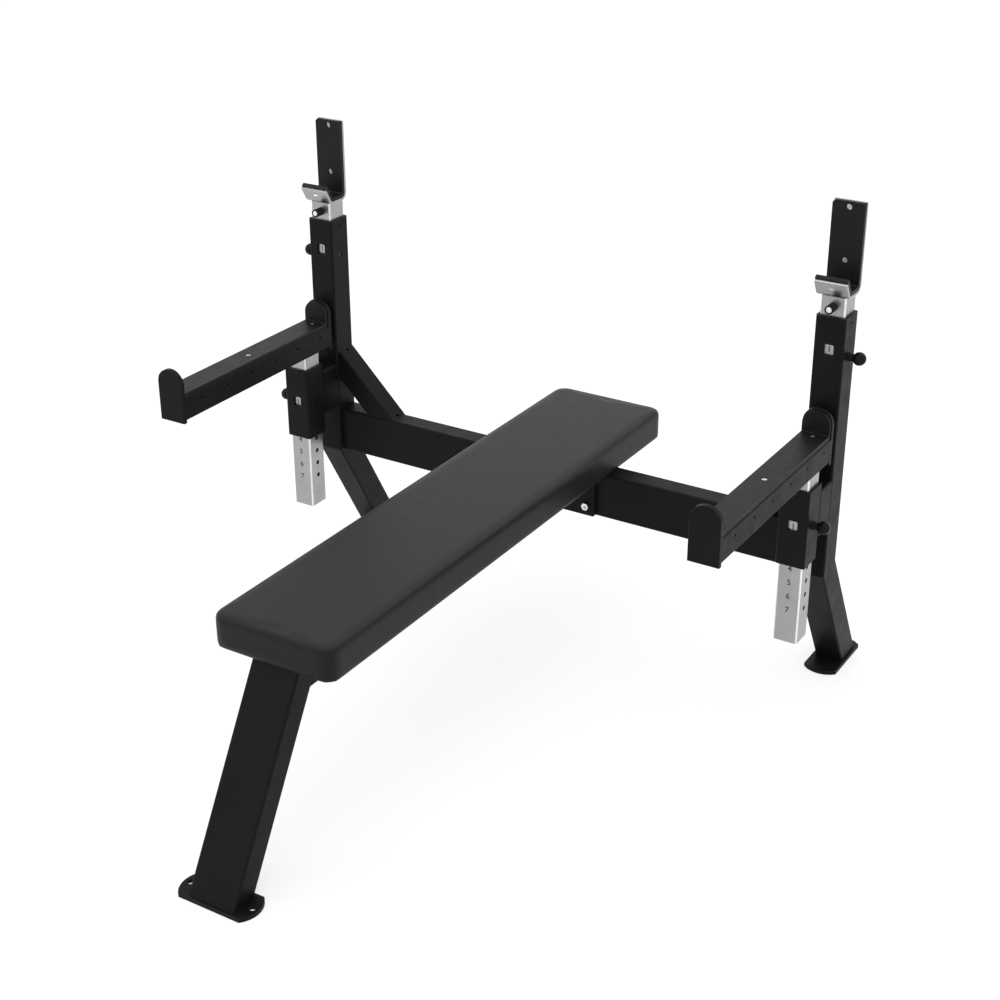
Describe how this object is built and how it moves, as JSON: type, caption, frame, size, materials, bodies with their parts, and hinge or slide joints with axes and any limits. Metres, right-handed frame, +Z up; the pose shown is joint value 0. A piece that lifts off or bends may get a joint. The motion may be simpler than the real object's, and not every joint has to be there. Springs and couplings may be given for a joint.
{
  "type": "olympic bench press",
  "caption": "Flat barbell bench with a padded bench, crossbeam, braced uprights, and height-adjustable bar hooks and spotter arms held by pull pins.",
  "frame": {"origin": "on the floor, on the plane of symmetry, halfway between the front foot's front edge and the pad's rear end", "axes": "+X along the crossbeam, +Y from the pad's foot end towards the uprights, +Z up"},
  "size_m": [1.3, 1.413, 1.022],
  "materials": {
    "frame_paint": "satin black powder coat with a fine texture",
    "post_steel": "satin plated steel, vertical grain",
    "hook_steel": "satin plated bent plate",
    "liner_plastic": "black wear-resistant polyethylene",
    "bushing_plastic": "black guide plastic",
    "knob_plastic": "black moulded ball",
    "grip_rubber": "black rubber sleeve",
    "pin_steel": "black-oxide steel",
    "fastener_steel": "bright zinc",
    "pad_vinyl": "black upholstery vinyl with fine grain",
    "board_ply": "raw plywood"
  },
  "bodies": {
    "frame": {"pad_cushion": "pad_vinyl", "pad_board": "board_ply", "pad_screws": "fastener_steel", "pad_rear_bracket": "frame_paint", "spine_tube": "frame_paint", "spine_end_plate": "frame_paint", "spine_bolts": "fastener_steel", "spine_nuts": "fastener_steel", "front_leg_tube": "frame_paint", "front_foot_plate": "frame_paint", "crossbeam_tube": "frame_paint", "pin_housings": "frame_paint", "bushing_screws": "pin_steel", "right_upright_tube": "frame_paint", "right_rear_leg_tube": "frame_paint", "right_rear_foot_plate": "frame_paint", "right_brace_tube": "frame_paint", "right_sleeve_tube": "frame_paint", "right_sleeve_connector": "frame_paint", "right_post_bushings": "bushing_plastic", "left_upright_tube": "frame_paint", "left_rear_leg_tube": "frame_paint", "left_rear_foot_plate": "frame_paint", "left_brace_tube": "frame_paint", "left_sleeve_tube": "frame_paint", "left_sleeve_connector": "frame_paint", "left_post_bushings": "bushing_plastic"},
    "right_hook_carriage": {"right_hook_post": "post_steel", "right_hook_plate": "hook_steel", "right_hook_liner": "liner_plastic", "right_hook_screws": "hook_steel", "right_lift_stud": "fastener_steel", "right_lift_stud_sleeve": "grip_rubber"},
    "right_arm_carriage": {"right_arm_post": "post_steel", "right_arm_beam": "frame_paint", "right_arm_front_plate": "frame_paint", "right_arm_rear_plate": "frame_paint", "right_arm_liner": "liner_plastic", "right_arm_screws": "fastener_steel"},
    "right_hook_lock": {"right_hook_pin": "pin_steel", "right_hook_pin_knob": "knob_plastic"},
    "right_arm_lock": {"right_arm_pin": "pin_steel", "right_arm_pin_knob": "knob_plastic"},
    "left_hook_carriage": {"left_hook_post": "post_steel", "left_hook_plate": "hook_steel", "left_hook_liner": "liner_plastic", "left_hook_screws": "hook_steel", "left_lift_stud": "fastener_steel", "left_lift_stud_sleeve": "grip_rubber"},
    "left_arm_carriage": {"left_arm_post": "post_steel", "left_arm_beam": "frame_paint", "left_arm_front_plate": "frame_paint", "left_arm_rear_plate": "frame_paint", "left_arm_liner": "liner_plastic", "left_arm_screws": "fastener_steel"},
    "left_hook_lock": {"left_hook_pin": "pin_steel", "left_hook_pin_knob": "knob_plastic"},
    "left_arm_lock": {"left_arm_pin": "pin_steel", "left_arm_pin_knob": "knob_plastic"}
  },
  "joints": [
    {"name": "right_hook_height", "type": "slide", "parent": "frame", "child": "right_hook_carriage", "axis": [0, 0, 1], "range_m": [0, 0.18]},
    {"name": "right_arm_height", "type": "slide", "parent": "frame", "child": "right_arm_carriage", "axis": [0, 0, 1], "range_m": [0, 0.18]},
    {"name": "right_hook_pin_pull", "type": "slide", "parent": "frame", "child": "right_hook_lock", "axis": [1, 0, 0], "range_m": [0, 0.066]},
    {"name": "right_arm_pin_pull", "type": "slide", "parent": "frame", "child": "right_arm_lock", "axis": [1, 0, 0], "range_m": [0, 0.066]},
    {"name": "left_hook_height", "type": "slide", "parent": "frame", "child": "left_hook_carriage", "axis": [0, 0, 1], "range_m": [0, 0.18]},
    {"name": "left_arm_height", "type": "slide", "parent": "frame", "child": "left_arm_carriage", "axis": [0, 0, 1], "range_m": [0, 0.18]},
    {"name": "left_hook_pin_pull", "type": "slide", "parent": "frame", "child": "left_hook_lock", "axis": [-1, 0, 0], "range_m": [0, 0.066]},
    {"name": "left_arm_pin_pull", "type": "slide", "parent": "frame", "child": "left_arm_lock", "axis": [-1, 0, 0], "range_m": [0, 0.066]}
  ]
}
